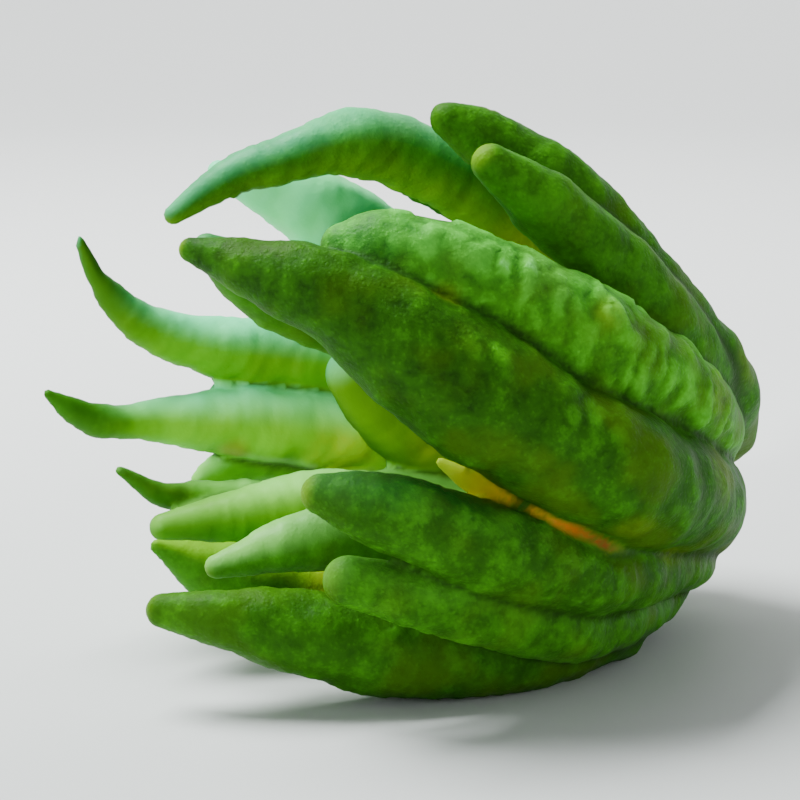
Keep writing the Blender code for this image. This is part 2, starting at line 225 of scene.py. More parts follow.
# Marks on the rind: the finger, how far along it from 0 at the heel to 1 at the tip,
# degrees round it from its top towards the near side, radius in mm and strength.
marks = {
    "yellow": [
        ("upperNear", 0.63, 55, 5, 0.3), ("upperNear", 0.85, 115, 5, 0.3), ("upperNear", 0.35, 70, 9, 0.18),
        ("broadNear", 0.30, 70, 9, 0.12), ("broadNear", 0.42, 140, 7, 0.15), ("crownBack", 0.30, 60, 8, 0.18),
        ("crownBack", 0.95, -20, 4, 0.5), ("arch", 0.45, 120, 13, 0.7), ("lowerNear", 0.40, 30, 7, 0.3),
        ("innerUpper", 0.75, 100, 8, 0.6), ("innerFloor", 0.70, 40, 12, 1.0), ("farLong", 0.55, 110, 11, 0.7),
        ("farFloor", 0.60, 90, 10, 0.6)],
    # bright: paler knobs on the upper near side, partly the rind's own pale green and partly painted
    # highlight
    "paleAndPaintedHighlight": [
        ("broadNear", 0.52, 45, 4, 0.30), ("broadNear", 0.55, 60, 3, 0.25), ("broadNear", 0.50, 60, 3, 0.22),
        ("broadNear", 0.66, 40, 4, 0.18), ("broadNear", 0.69, 50, 3, 0.14), ("upperNear", 0.75, 40, 4, 0.22),
        ("upperNear", 0.70, 30, 4, 0.20), ("upperNear", 0.80, 55, 3, 0.18), ("upperNear", 0.62, 45, 4, 0.15)],
    "pebbly": [
        ("broadNear", 0.52, 50, 9, 0.9), ("broadNear", 0.67, 45, 7, 0.7)],
    "brown": [
        ("farLong", 0.70, 140, 5, 0.5), ("innerUpper", 0.65, 150, 6, 0.6), ("web", 0.25, 60, 4, 0.8)],
}


def selectOnly(piece):
    bpy.ops.object.select_all(action="DESELECT")
    piece.select_set(True)
    bpy.context.view_layer.objects.active = piece


def applyModifier(piece, kind, **settings):
    selectOnly(piece)
    modifier = piece.modifiers.new(kind, kind)
    for name, value in settings.items():
        setattr(modifier, name, value)
    bpy.ops.object.modifier_apply(modifier=modifier.name)


def heelStop(stop):
    # a finger starts on the ring round the stalk, on its own side
    outward = Vector(stop[:3]) - heel["place"]
    outward -= heel["axis"] * outward.dot(heel["axis"])
    place = heel["place"] + outward.normalized() * heel["ring"]
    return (*place, heel["rootRadius"])


def smoothRoute(stops, pitch):
    knots = np.array([heelStop(stops[0]), *stops], float)
    knots = np.vstack([2 * knots[0] - knots[1], knots, 2 * knots[-1] - knots[-2]])
    route = []
    for before, start, end, after in zip(knots, knots[1:], knots[2:], knots[3:]):
        count = max(1, round(np.linalg.norm(end[:3] - start[:3]) / pitch))
        for t in np.arange(count) / count:
            bend = 2 * before - 5 * start + 4 * end - after
            twist = -before + 3 * start - 3 * end + after
            route.append(0.5 * (2 * start + (end - before) * t + bend * t * t + twist * t**3))
    return np.array([*route, knots[-2]])


def roundTip(route):
    tip, radius = route[-1][:3], route[-1][3]
    heading = tip - route[-2][:3]
    heading /= np.linalg.norm(heading)
    dome = []
    for angle in np.radians((20, 40, 60, 75, 85)):
        place = tip + heading * radius * math.sin(angle)
        dome.append([*place, radius * math.cos(angle)])
    return np.vstack([route, dome])


def addFinger(name, route):
    bpy.ops.curve.primitive_nurbs_path_add()
    path = bpy.context.object
    path.name = name
    data = path.data
    data.splines.clear()
    spline = data.splines.new("POLY")
    spline.points.add(len(route) - 1)
    for point, (x, y, z, radius) in zip(spline.points, route):
        point.co = (x * mm, y * mm, z * mm, 1)
        point.radius = radius
    data.bevel_depth = mm
    data.bevel_resolution = skin["sides"] // 2 - 2
    data.use_fill_caps = True
    selectOnly(path)
    bpy.ops.object.convert(target="MESH")
    return bpy.context.object


def addHeart():
    bpy.ops.mesh.primitive_uv_sphere_add(segments=64, ring_count=32, radius=mm)
    heart = bpy.context.object
    heart.scale = heel["heartRadii"]
    heart.location = Vector(heel["heart"]) * mm
    selectOnly(heart)
    bpy.ops.object.transform_apply()
    return heart


def mergeFingers(parts):
    bpy.ops.object.select_all(action="DESELECT")
    for part in parts:
        part.select_set(True)
    bpy.context.view_layer.objects.active = parts[-1]
    bpy.ops.object.join()
    whole = bpy.context.object
    bpy.ops.object.mode_set(mode="EDIT")
    bpy.ops.mesh.select_all(action="SELECT")
    bpy.ops.mesh.remove_doubles(threshold=0.01 * mm)
    bpy.ops.mesh.normals_make_consistent(inside=False)
    bpy.ops.object.mode_set(mode="OBJECT")
    applyModifier(whole, "REMESH", mode="VOXEL", voxel_size=skin["voxel"])
    applyModifier(whole, "SMOOTH", factor=0.5, iterations=2)
    return whole


def readPoints(mesh):
    points = np.empty(len(mesh.vertices) * 3)
    mesh.vertices.foreach_get("co", points)
    return points.reshape(-1, 3) / mm


def readNormals(mesh):
    normals = np.empty(len(mesh.vertices) * 3)
    mesh.vertices.foreach_get("normal", normals)
    return normals.reshape(-1, 3)


def writePoints(mesh, points):
    mesh.vertices.foreach_set("co", (points * mm).ravel())
    mesh.update()


def measure(points, routes):
    # for each finger and point: how far the point is from the finger's skin,
    # the nearest place on its middle line, and how far along that is
    shape = (len(routes), len(points))
    away = np.full(shape, skin["farAway"])
    along = np.zeros(shape)
    foot = np.zeros((*shape, 3))
    for i, route in enumerate(routes):
        low, high = route[:, :3].min(0) - skin["searchRoom"], route[:, :3].max(0) + skin["searchRoom"]
        near = np.flatnonzero(np.all((points > low) & (points < high), axis=1))
        some = points[near]
        best = np.full(len(near), skin["farAway"])
        bestFoot = some * 0
        bestAlong = np.zeros(len(near))
        start = 0.0
        for one, two in zip(route, route[1:]):
            step = two[:3] - one[:3]
            length = np.linalg.norm(step)
            t = np.clip((some - one[:3]) @ step / length**2, 0, 1)
            place = one[:3] + t[:, None] * step
            gap = np.linalg.norm(some - place, axis=1) - (one[3] + t * (two[3] - one[3]))
            closer = gap < best
            best[closer] = gap[closer]
            bestFoot[closer] = place[closer]
            bestAlong[closer] = start + t[closer] * length
            start += length
        away[i, near], foot[i, near], along[i, near] = best, bestFoot, bestAlong
    return away, foot, along


def settle(points, routes):
    # moves each point onto the softly blended skin of all fingers
    away, foot, along = measure(points, routes)
    fromHeart = (points - np.array(heel["heart"])) / np.array(heel["heartRadii"])
    length = np.linalg.norm(fromHeart, axis=1)
    heartWay = fromHeart / np.array(heel["heartRadii"])
    heartWay /= np.linalg.norm(heartWay, axis=1)[:, None]
    heartGap = (length - 1) * min(heel["heartRadii"])
    ways = points[None] - foot
    ways /= np.linalg.norm(ways, axis=2)[:, :, None] + 1e-9
    away = np.vstack([away, heartGap])
    ways = np.concatenate([ways, heartWay[None]])
    closest = away.min(0)
    weight = np.exp(-(away - closest) / skin["blend"])
    total = weight.sum(0)
    gap = closest - skin["blend"] * np.log(total)
    way = (weight[:, :, None] * ways).sum(0) / total[:, None]
    return points - way * (gap / np.maximum((way**2).sum(1), 0.3))[:, None]


def smoothStep(value, low, high):
    t = np.clip((value - low) / (high - low), 0, 1)
    return t * t * (3 - 2 * t)


def noiseAt(points, size, seed=0.0):
    shift = Vector((seed, seed * 0.7, -seed))
    return np.array([noise.noise(Vector(p) / size + shift) for p in points])


def foldsAt(points, seed=0.0):
    # crumpled bumps one unit across: 1 on top, 0 in the creases between them
    coarse = noiseAt(points, 1.0, seed)
    fine = noiseAt(points, 0.5, seed + 4.0)
    return np.clip(1.9 * np.sqrt(coarse**2 + 0.004) + 0.35 * fine, 0, 1)


def markPlace(routes, name, share, turn):
    route = routes[list(fingers).index(name)]
    steps = np.linalg.norm(np.diff(route[:, :3], axis=0), axis=1)
    stop = int(np.searchsorted(np.cumsum(steps), share * steps.sum()))
    heading = Vector(route[stop + 1, :3] - route[stop, :3]).normalized()
    top = (Vector((0, 0, 1)) - heading * heading.z).normalized()
    near = heading.cross(top)
    near *= -1 if near.y > 0 else 1
    way = top * math.cos(math.radians(turn)) + near * math.sin(math.radians(turn))
    return Vector(route[stop, :3]) + way * route[stop, 3]


def spots(points, routes, places):
    worth = np.zeros(len(points))
    for name, share, turn, radius, strength in places:
        far = np.linalg.norm(points - np.array(markPlace(routes, name, share, turn)), axis=1)
        worth = np.maximum(worth, strength * (1 - smoothStep(far, radius * 0.3, radius)))
    return worth


def ringAxes(route):
    # two directions across the finger at each stop, carried along without twist
    heading = np.gradient(route[:, :3], axis=0)
    heading /= np.linalg.norm(heading, axis=1)[:, None]
    side = np.cross(heading[0], (0.3, 0.1, 1.0))
    axes = []
    for way in heading:
        side = side - way * (side @ way)
        side /= np.linalg.norm(side)
        axes.append((side, np.cross(way, side)))
    return np.array(axes)


def pastTips(points, first, routes):
    # how many tip radii each point is past the middle of its finger's round end
    past = np.zeros(len(points))
    for i, route in enumerate(routes):
        heading = route[-1, :3] - route[-2, :3]
        heading /= np.linalg.norm(heading)
        mine = first == i
        past[mine] = (points[mine] - route[-1, :3]) @ heading / route[-1, 3]
    return past


def drawTips(points, routes):
    # the merging leaves slim tips blunt, so the last stretch is drawn out again
    first = measure(points, routes)[0].argmin(0)
    for i, route in enumerate(routes):
        heading = route[-1, :3] - route[-2, :3]
        heading /= np.linalg.norm(heading)
        fromTip = (points - route[-1, :3]) @ heading
        mine = (first == i) & (fromTip > -skin["tipReach"])
        if mine.any():
            reach = fromTip[mine].max()
            pull = (route[-1, 3] - reach) * smoothStep(fromTip[mine], -skin["tipReach"], reach)
            points[mine] += np.maximum(pull, 0)[:, None] * heading
    return points


def relax(mesh, points, amount, rounds):
    # evens the points out where amount is above 0
    ends = np.empty(len(mesh.edges) * 2, np.int32)
    mesh.edges.foreach_get("vertices", ends)
    one, two = ends.reshape(-1, 2).T
    count = np.bincount(ends, minlength=len(points))
    for _ in range(rounds):
        middle = np.empty_like(points)
        for k in range(3):
            middle[:, k] = np.bincount(one, points[two, k], len(points))
            middle[:, k] += np.bincount(two, points[one, k], len(points))
        middle /= count[:, None]
        points = points + amount[:, None] * (middle - points)
    return points


def keepLayers(mesh, layers):
    for name, values in layers.items():
        layer = mesh.attributes.new(name, "FLOAT", "POINT")
        layer.data.foreach_set("value", values.astype(np.float32))


def shapeSkin(citron, routes):
    mesh = citron.data
    points = drawTips(readPoints(mesh), routes)
    evenly = np.full(len(points), skin["evenShare"])
    for _ in range(skin["evenRounds"]):
        points = settle(relax(mesh, points, evenly, skin["evenRounds"]), routes)
    writePoints(mesh, points)
    normals = readNormals(mesh)

    away, foot, along = measure(points, routes)
    rows = np.arange(len(points))
    order = np.argsort(away, axis=0)
    first, second = order[0], order[1]
    gap, nextGap = away[first, rows], away[second, rows]
    here = along[first, rows]
    total = np.array([np.linalg.norm(np.diff(r[:, :3], axis=0), axis=1).sum() for r in routes])
    toTip = total[first] - here
    radial = points - foot[first, rows]
    axes = [ringAxes(r) for r in routes]
    lastStop = np.array([len(r) for r in routes])[first] - 1
    stops = np.clip((here / total[first] * lastStop).round(), 0, None)
    across = np.array([axes[f][int(s)] for f, s in zip(first, stops)])
    wide = np.einsum("nij,nj->ni", across, radial)

    # near a seam the values of both fingers are mixed
    mix = 0.5 * (1 - smoothStep(nextGap - gap, 0, skin["mixWidth"]))
    habit = {}
    for key, usual in skin["usual"].items():
        values = np.array([one.get(key, usual) for one in fingers.values()])
        habit[key] = values[first] * (1 - mix) + values[second] * mix
    # where two fingers meet: it digs the furrow, and it darkens the green there, which is painted shade in
    # the crease
    seamAndPaintedShade = np.exp(-((nextGap - gap) / skin["furrowWidth"]) ** 2)
    seamAndPaintedShade = seamAndPaintedShade * (1 - smoothStep(nextGap, *skin["seamDepth"]))
    slim = smoothStep(toTip, *skin["slimTip"])
    calm = smoothStep(here, *skin["calmRoot"])
    knobs = np.maximum(habit["knobs"], spots(points, routes, marks["pebbly"]))

    lump = noiseAt(points, skin["lumpSize"], 3.1)
    bend = noiseAt(points, skin["bendSize"], 6.4)
    local = np.column_stack([here / skin["knobLong"] + first * 7.0, wide / skin["knobWide"]])
    local += bend[:, None] * skin["bend"]
    pebble = foldsAt(local, 5.7)
    knobHigh = (pebble - skin["knobLevel"]) * knobs * calm
    sway = noiseAt(points, skin["swaySize"], 8.3)
    wave = np.sin(2 * np.pi * (here / skin["ripplePitch"] + skin["sway"] * sway))
    lift = (skin["swell"] * 2 * noiseAt(points, skin["swellSize"])
            + skin["lump"] * 2 * lump
            + skin["knob"] * knobHigh * (0.6 + 1.2 * np.clip(lump + 0.3, 0, 1))
            + skin["ripple"] * wave * habit["ripples"] * calm)
    lift = lift * slim - skin["furrow"] * seamAndPaintedShade
    points = points + normals * lift[:, None]
    crease = 1 - smoothStep(nextGap - gap, *skin["crease"])
    crease = crease * (1 - smoothStep(nextGap, *skin["creaseDepth"]))
    points = relax(mesh, points, skin["creaseShare"] * crease, skin["creaseRounds"])

    palm = np.array(skin["palmEnd"] - skin["palmStart"])
    t = np.clip((points - np.array(skin["palmStart"])) @ palm / (palm @ palm), 0, 1)
    toPalm = np.array(skin["palmStart"]) + t[:, None] * palm - points
    toPalm /= np.linalg.norm(toPalm, axis=1)[:, None]
    facing = (normals * toPalm).sum(1)
    inner = smoothStep(facing, *skin["innerSide"])
    # the pale fingers of the far side are as green as the others on their outer side
    outer = smoothStep(-facing, *skin["outerSide"]) * smoothStep(normals[:, 1], *skin["farSide"])
    # how far the rind faces the light, which places the painted sheen
    facesLight = smoothStep(normals @ np.array(skin["lightWay"].normalized()), *skin["lightFacing"])

    dark = habit["darkTip"] * smoothStep(here / total[first], *skin["darkEnd"])
    ridge = list(fingers).index("web")
    ripeness = along[ridge] / total[ridge]
    reach, more = skin["ridgeReach"]
    reach = reach + more * smoothStep(ripeness, *skin["ridgeOpen"])
    ripe = 1 - smoothStep(away[ridge], 0.2 * reach, reach)
    ripe = ripe * smoothStep(ripeness, *skin["ridgeStart"])
    tone = habit["tone"] + habit["fade"] * here / total[first] - skin["darkDrop"] * dark
    tone += (np.minimum(tone, skin["outerTone"]) - tone) * outer
    # the painted sheen, a painted highlight: on rind facing the light, and all round where frost is set
    paintedSheenMask = np.maximum(facesLight * habit["paintedSheen"], habit["paintedSheenAllRound"])
    keepLayers(mesh, {
        # paler spots, partly painted highlight
        "tone": tone + spots(points, routes, marks["paleAndPaintedHighlight"]),
        "mottled": habit["mottle"] + (1 - habit["mottle"]) * outer,
        "ripe": ripe,
        "ripeness": ripeness,
        "seamAndPaintedShade": seamAndPaintedShade * (1 - ripe),
        "inner": inner * habit["lime"] * (1 - dark),
        "paintedSheen": paintedSheenMask * (1 - dark) * (1 - ripe) * (1 - outer),
        "tip": habit["tipSpot"] * smoothStep(pastTips(points, first, routes), *skin["tipCap"]),
        "along": here / total[first],
        # knob height, which the rind material turns into painted highlight on the tops and painted shade in
        # the hollows
        "pebble": np.clip(0.5 + 0.25 * lump + knobHigh, 0, 1),
        "yellow": spots(points, routes, marks["yellow"]),
        "brown": spots(points, routes, marks["brown"]),
    })

    # the well under the stalk, and then the frame's box
    axis = np.array(heel["axis"])
    rise = (points - np.array(heel["place"])) @ axis
    out = np.linalg.norm(points - np.array(heel["place"]) - rise[:, None] * axis, axis=1)
    brim = stalk["wellRadius"]
    floor = stalk["wellFloor"] + stalk["wellDeep"] * smoothStep(out, brim - 0.5, brim + 0.5)
    over = np.where((rise > 0) & (out < brim + 1), np.maximum(rise - floor, 0), 0)
    points -= over[:, None] * axis

    points -= np.array(heel["footprint"])
    low, high = np.array(cadLow) / mm, np.array(cadHigh) / mm
    print("past the box, mm:", np.round(low - points.min(0), 2), np.round(points.max(0) - high, 2))
    room = skin["edgeRoom"]
    over = np.maximum(points - (high - room), 0)
    under = np.maximum(low + room - points, 0)
    under[:, 2] = 0
    points += room * (1 - np.exp(-over / room)) - over
    points -= room * (1 - np.exp(-under / room)) - under
    writePoints(mesh, np.clip(points, low, high))


def makeCitron():
    routes = [smoothRoute(one["stops"], skin["ringPitch"]) for one in fingers.values()]
    parts = [addFinger(name, roundTip(route)) for name, route in zip(fingers, routes)]
    print("fingers laid out:", len(parts))
    citron = mergeFingers([*parts, addHeart()])
    citron.name = "citron"
    print("fingers merged, faces:", len(citron.data.polygons))
    shapeSkin(citron, routes)
    selectOnly(citron)
    bpy.ops.object.shade_smooth()
    print("rind shaped")
    return citron


def makeStalk():
    bpy.ops.object.select_all(action="DESELECT")
    radius, height = stalk["foot"]
    bpy.ops.mesh.primitive_circle_add(
        vertices=stalk["sides"], radius=radius * mm, location=(0, 0, height * mm), fill_type="NGON")
    piece = bpy.context.object
    piece.name = "stalk"
    bpy.ops.object.transform_apply()
    bpy.ops.object.mode_set(mode="EDIT")
    bpy.ops.mesh.select_mode(type="FACE")
    bpy.ops.mesh.select_all(action="SELECT")
    for wide, high in stalk["rings"]:
        lift = (high - height) * mm
        bpy.ops.mesh.extrude_region_move(TRANSFORM_OT_translate={"value": (0, 0, lift)})
        bpy.ops.transform.resize(
            value=(wide / radius, wide / radius, 1), center_override=(0, 0, high * mm))
        radius, height = wide, high
    bpy.ops.mesh.poke()
    bpy.ops.mesh.select_all(action="SELECT")
    bpy.ops.mesh.normals_make_consistent(inside=False)
    bpy.ops.object.mode_set(mode="OBJECT")
    applyModifier(piece, "SUBSURF", levels=1, render_levels=1)
    points = readPoints(piece.data)
    angle = np.arctan2(points[:, 1], points[:, 0])
    out = np.hypot(points[:, 0], points[:, 1])
    rise = points[:, 2]
    calyx = smoothStep(out, *stalk["calyxSide"]) * (1 - smoothStep(rise, *stalk["calyxTop"]))
    stub = smoothStep(rise, *stalk["stubFoot"]) * smoothStep(out, *stalk["stubSide"])
    lobe = np.sqrt(np.abs(np.cos(angle * stalk["lobes"] / 2)))
    rib = np.cos(angle * stalk["ribs"] + 3 * noiseAt(points, 4.0, 2.2)) + noiseAt(points, 1.2, 9.1)
    points[:, :2] *= (1 - stalk["notch"] * calyx * (1 - lobe))[:, None]
    points[:, :2] *= (1 + stalk["rib"] * stub * (rib - 1))[:, None]
    points[:, 2] -= stalk["lobeDrop"] * calyx * (1 - lobe) * smoothStep(rise, *stalk["lobeRise"])
    writePoints(piece.data, points)
    cut = smoothStep(rise, *stalk["cutTop"]) * (1 - smoothStep(out, *stalk["cutSide"]))
    keepLayers(piece.data, {"calyx": calyx, "cut": cut})
    selectOnly(piece)
    bpy.ops.object.shade_smooth()
    print("stalk modelled")
    return piece


def placeStalk(piece):
    centre = heel["place"] + heel["axis"] * stalk["wellFloor"] - heel["footprint"]
    turn = heel["axis"].to_track_quat("Z", "Y").to_matrix().to_4x4()
    piece.data.transform(Matrix.Translation(centre * mm) @ turn)


def addNode(tree, kind, x, y, **settings):
    node = tree.nodes.new(kind)
    node.location = (x, y)
    for name, value in settings.items():
        setattr(node, name, value)
    return node


def newMaterial(name):
    material = bpy.data.materials.new(name)
    material.use_nodes = True
    return material, material.node_tree, material.node_tree.nodes["Principled BSDF"]


def plug(tree, source, target):
    tree.links.new(source, target)


def readLayer(tree, name, x, y):
    return addNode(tree, "ShaderNodeAttribute", x, y, attribute_name=name).outputs["Fac"]


def sums(tree, kind, first, second, x, y, third=None):
    node = addNode(tree, "ShaderNodeMath", x, y, operation=kind)
    for socket, value in zip(node.inputs, (first, second, third)):
        if hasattr(value, "is_linked"):
            plug(tree, value, socket)
        elif value is not None:
            socket.default_value = value
    return node.outputs[0]


def blendColour(tree, amount, under, over, x, y):
    node = addNode(tree, "ShaderNodeMix", x, y, data_type="RGBA")
    for socket, value in ((node.inputs["Factor"], amount), (node.inputs[6], under), (node.inputs[7], over)):
        if hasattr(value, "is_linked"):
            plug(tree, value, socket)
        else:
            socket.default_value = value
    return node.outputs[2]


def colourRamp(tree, value, colours, x, y):
    node = addNode(tree, "ShaderNodeValToRGB", x, y)
    while len(node.color_ramp.elements) < len(colours):
        node.color_ramp.elements.new(0.5)
    for stop, (where, colour) in zip(node.color_ramp.elements, colours):
        stop.position = where
        stop.color = (*colour, 1)
    plug(tree, value, node.inputs["Fac"])
    return node.outputs["Color"]


def spread(tree, value, low, high, x, y, way="LINEAR"):
    # value from low to high becomes 0 to 1
    node = addNode(tree, "ShaderNodeMapRange", x, y, interpolation_type=way)
    node.inputs["From Min"].default_value = low
    node.inputs["From Max"].default_value = high
    plug(tree, value, node.inputs["Value"])
    return node.outputs["Result"]


def makeMottle():
    # patches, grain and oil glands, for the rind and the stalk
    group = bpy.data.node_groups.new("mottle", "ShaderNodeTree")
    faces = group.interface
    faces.new_socket("Vector", in_out="INPUT", socket_type="NodeSocketVector")
    for name, value in (("Patch Scale", 150.0), ("Grain Scale", 600.0), ("Gland Scale", 900.0)):
        faces.new_socket(name, in_out="INPUT", socket_type="NodeSocketFloat").default_value = value
    for name in ("Patches", "Grain", "Glands", "Height"):
        faces.new_socket(name, in_out="OUTPUT", socket_type="NodeSocketFloat")
    entry = addNode(group, "NodeGroupInput", -800, 0)
    leave = addNode(group, "NodeGroupOutput", 600, 0)
    patches = addNode(group, "ShaderNodeTexNoise", -500, 300)
    patches.inputs["Detail"].default_value = 3.0
    patches.inputs["Roughness"].default_value = 0.6
    grain = addNode(group, "ShaderNodeTexNoise", -500, 0)
    grain.inputs["Detail"].default_value = 4.0
    grain.inputs["Roughness"].default_value = 0.65
    glands = addNode(group, "ShaderNodeTexVoronoi", -500, -300)
    for node, scale in ((patches, "Patch Scale"), (grain, "Grain Scale"), (glands, "Gland Scale")):
        plug(group, entry.outputs["Vector"], node.inputs["Vector"])
        plug(group, entry.outputs[scale], node.inputs["Scale"])
    wide = spread(group, patches.outputs["Fac"], 0.3, 0.7, -200, 300)
    fine = spread(group, grain.outputs["Fac"], 0.3, 0.7, -200, 0)
    dot = spread(group, glands.outputs["Distance"], 0.5, 0.1, -200, -300, "SMOOTHSTEP")
    plug(group, wide, leave.inputs["Patches"])
    plug(group, fine, leave.inputs["Grain"])
    plug(group, dot, leave.inputs["Glands"])
    height = sums(group, "MULTIPLY_ADD", dot, 0.5, 200, -200, fine)
    plug(group, height, leave.inputs["Height"])
    return group


rind = {
    "greens": [(0.0, (0.008, 0.042, 0.001)), (0.25, (0.024, 0.125, 0.002)), (0.5, (0.06, 0.31, 0.006)),
               (0.75, (0.12, 0.56, 0.03)), (1.0, (0.24, 0.85, 0.20))],
    "olive": (0.075, 0.15, 0.002, 1),
    "lime": (0.26, 0.55, 0.002, 1),
    "yellow": (0.40, 0.50, 0.006, 1),
    "ripening": [(0.66, (0.26, 0.050, 0.008)), (0.76, (0.60, 0.17, 0.010)), (0.85, (0.80, 0.50, 0.010)),
                 (0.98, (0.42, 0.60, 0.010))],
    "brown": (0.22, 0.06, 0.010, 1),
    # painted shade in the creases between fingers
    "seamAndPaintedShade": (0.010, 0.035, 0.003, 1),
    # colours of the painted sheen, a painted highlight: mint up high, yellower low down
    "paintedSheen": (0.08, 0.86, 0.42, 1),
    "lowPaintedSheen": (0.30, 0.80, 0.16, 1),
    "paintedSheenRise": (0.030, 0.060),    # metres up between which the low painted sheen turns into the other
    "tip": (0.20, 0.38, 0.005, 1),
    "patchScale": 190.0,
    "grainScale": 620.0,
    "glandScale": 950.0,
    "blotchScale": 75.0,
    "blotchEdge": (0.45, 0.68),
    "patchShare": 0.16,     # how far each layer of mottling moves the green
    # knobHighlightAndShadeShare paints knob tops paler and their hollows darker: painted highlight and
    # painted shade
    "knobHighlightAndShadeShare": 0.36,
    "grainShare": 0.16,
    "glandShare": 0.06,     # oil glands show as paler dots
    "roughness": 0.45,
    "specular": 0.06,
    "coatRoughness": 0.35,
    "bump": 0.00013,
    "paintedSheenAndGloss": 0.3,             # how much real coat gloss goes with the painted sheen
}


def placeMottle(tree, mottle, place, sizes, x, y):
    node = addNode(tree, "ShaderNodeGroup", x, y, node_tree=mottle)
    plug(tree, place, node.inputs["Vector"])
    node.inputs["Patch Scale"].default_value = sizes["patchScale"]
    node.inputs["Grain Scale"].default_value = sizes["grainScale"]
    node.inputs["Gland Scale"].default_value = sizes["glandScale"]
    return node


def makeRind(mottle):
    material, tree, shader = newMaterial("rind")
    place = addNode(tree, "ShaderNodeTexCoord", -2200, 0).outputs["Object"]
    skinMap = placeMottle(tree, mottle, place, rind, -2000, 0)
    patches, grain = skinMap.outputs["Patches"], skinMap.outputs["Grain"]
    names = ("tone", "mottled", "pebble", "inner", "along", "paintedSheen", "yellow", "ripe", "ripeness", "seamAndPaintedShade",
             "brown", "tip")
    layer = {name: readLayer(tree, name, -2000, 700 - 150 * i) for i, name in enumerate(names)}

    # the green itself, from the finger's tone, two sizes of mottling, oil glands, and painted highlight and
    # shade on the knobs
    patch = sums(tree, "MULTIPLY_ADD", patches, rind["patchShare"], -1750, 500, -rind["patchShare"] / 2)
    speck = sums(tree, "MULTIPLY_ADD", grain, rind["grainShare"], -1750, 350, -rind["grainShare"] / 2)
    # painted highlight on knob tops and painted shade in their hollows
    knob = sums(tree, "MULTIPLY_ADD", layer["pebble"], rind["knobHighlightAndShadeShare"], -1750, 200,
                -rind["knobHighlightAndShadeShare"] / 2)
    mixed = sums(tree, "ADD", sums(tree, "ADD", patch, speck, -1600, 450), knob, -1450, 400)
    dots = sums(tree, "MULTIPLY_ADD", skinMap.outputs["Glands"], rind["glandShare"], -1450, 550, mixed)
    level = sums(tree, "MULTIPLY_ADD", dots, layer["mottled"], -1300, 400, layer["tone"])
    colour = colourRamp(tree, level, rind["greens"], -1150, 400)

    # olive blotches, mostly towards the heel
    blotch = addNode(tree, "ShaderNodeTexNoise", -1750, -100)
    blotch.inputs["Scale"].default_value = rind["blotchScale"]
    blotch.inputs["Detail"].default_value = 2.0
    plug(tree, place, blotch.inputs["Vector"])
    blot = spread(tree, blotch.outputs["Fac"], *rind["blotchEdge"], -1600, -100, "SMOOTHSTEP")
    root = sums(tree, "MULTIPLY_ADD", layer["along"], -0.6, -1600, -300, 0.75)
    amount = sums(tree, "MULTIPLY", blot, root, -1450, -200)
    colour = blendColour(tree, amount, colour, rind["olive"], -850, 300)

    palm = sums(tree, "MULTIPLY_ADD", layer["along"], -0.35, -1300, -400, 0.9)
    palm = sums(tree, "MULTIPLY", layer["inner"], palm, -1150, -400)
    colour = blendColour(tree, palm, colour, rind["lime"], -700, 300)
    amount = sums(tree, "MULTIPLY_ADD", patches, 0.8, -1300, -550, 0.3)
    amount = sums(tree, "MULTIPLY", amount, layer["yellow"], -1150, -550)
    colour = blendColour(tree, amount, colour, rind["yellow"], -550, 300)
    ripening = colourRamp(tree, layer["ripeness"], rind["ripening"], -1150, 700)
    colour = blendColour(tree, layer["ripe"], colour, ripening, -400, 300)
    # the painted sheen, a painted highlight: stronger on knob tops, mint up high and yellower low down; its
    # amount also sets the real coat
    paintedSheenAndGloss = sums(tree, "MULTIPLY_ADD", layer["pebble"], 0.6, -1300, -700, 0.6)
    paintedSheenAndGloss = sums(tree, "MULTIPLY", paintedSheenAndGloss, layer["paintedSheen"], -1150, -700)
    upward = addNode(tree, "ShaderNodeSeparateXYZ", -1150, -900)
    plug(tree, place, upward.inputs["Vector"])
    high = spread(tree, upward.outputs["Z"], *rind["paintedSheenRise"], -1000, -900, "SMOOTHSTEP")
    paintedSheen = blendColour(tree, high, rind["lowPaintedSheen"], rind["paintedSheen"], -800, -900)
    colour = blendColour(tree, paintedSheenAndGloss, colour, paintedSheen, -250, 300)
    # seam paints shade into the creases; brown and tip are the rind's own colours
    for name, share, x in (("seamAndPaintedShade", 0.8, -100), ("brown", 0.9, 50), ("tip", 0.7, 200)):
        amount = sums(tree, "MULTIPLY", layer[name], share, x - 150, -100)
        colour = blendColour(tree, amount, colour, rind[name], x, 300)
    plug(tree, colour, shader.inputs["Base Color"])

    rough = sums(tree, "MULTIPLY_ADD", patches, 0.12, -300, -300, rind["roughness"])
    plug(tree, rough, shader.inputs["Roughness"])
    plug(tree, sums(tree, "MULTIPLY", paintedSheenAndGloss, rind["paintedSheenAndGloss"], -300, -450), shader.inputs["Coat Weight"])
    shader.inputs["Coat Roughness"].default_value = rind["coatRoughness"]
    shader.inputs["Specular IOR Level"].default_value = rind["specular"]
    bump = addNode(tree, "ShaderNodeBump", -300, -650)
    bump.inputs["Distance"].default_value = rind["bump"]
    bump.inputs["Strength"].default_value = 1.0
    relief = sums(tree, "MULTIPLY", skinMap.outputs["Height"], layer["mottled"], -450, -650)
    plug(tree, relief, bump.inputs["Height"])
    plug(tree, bump.outputs["Normal"], shader.inputs["Normal"])
    shader.location = (500, 300)
    tree.nodes["Material Output"].location = (800, 300)
    return material


bark = {
    "wood": [(0.0, (0.035, 0.022, 0.008)), (0.5, (0.11, 0.075, 0.030)), (1.0, (0.24, 0.18, 0.09))],
    "calyx": (0.075, 0.13, 0.018, 1),
    "pith": (0.50, 0.42, 0.24, 1),
    "patchScale": 420.0,
    "grainScale": 1500.0,
    "glandScale": 1100.0,
    "stretch": 0.25,        # the grain is this much longer along the stub
    "roughness": 0.72,
    "specular": 0.25,
    "bump": 0.00030,
}


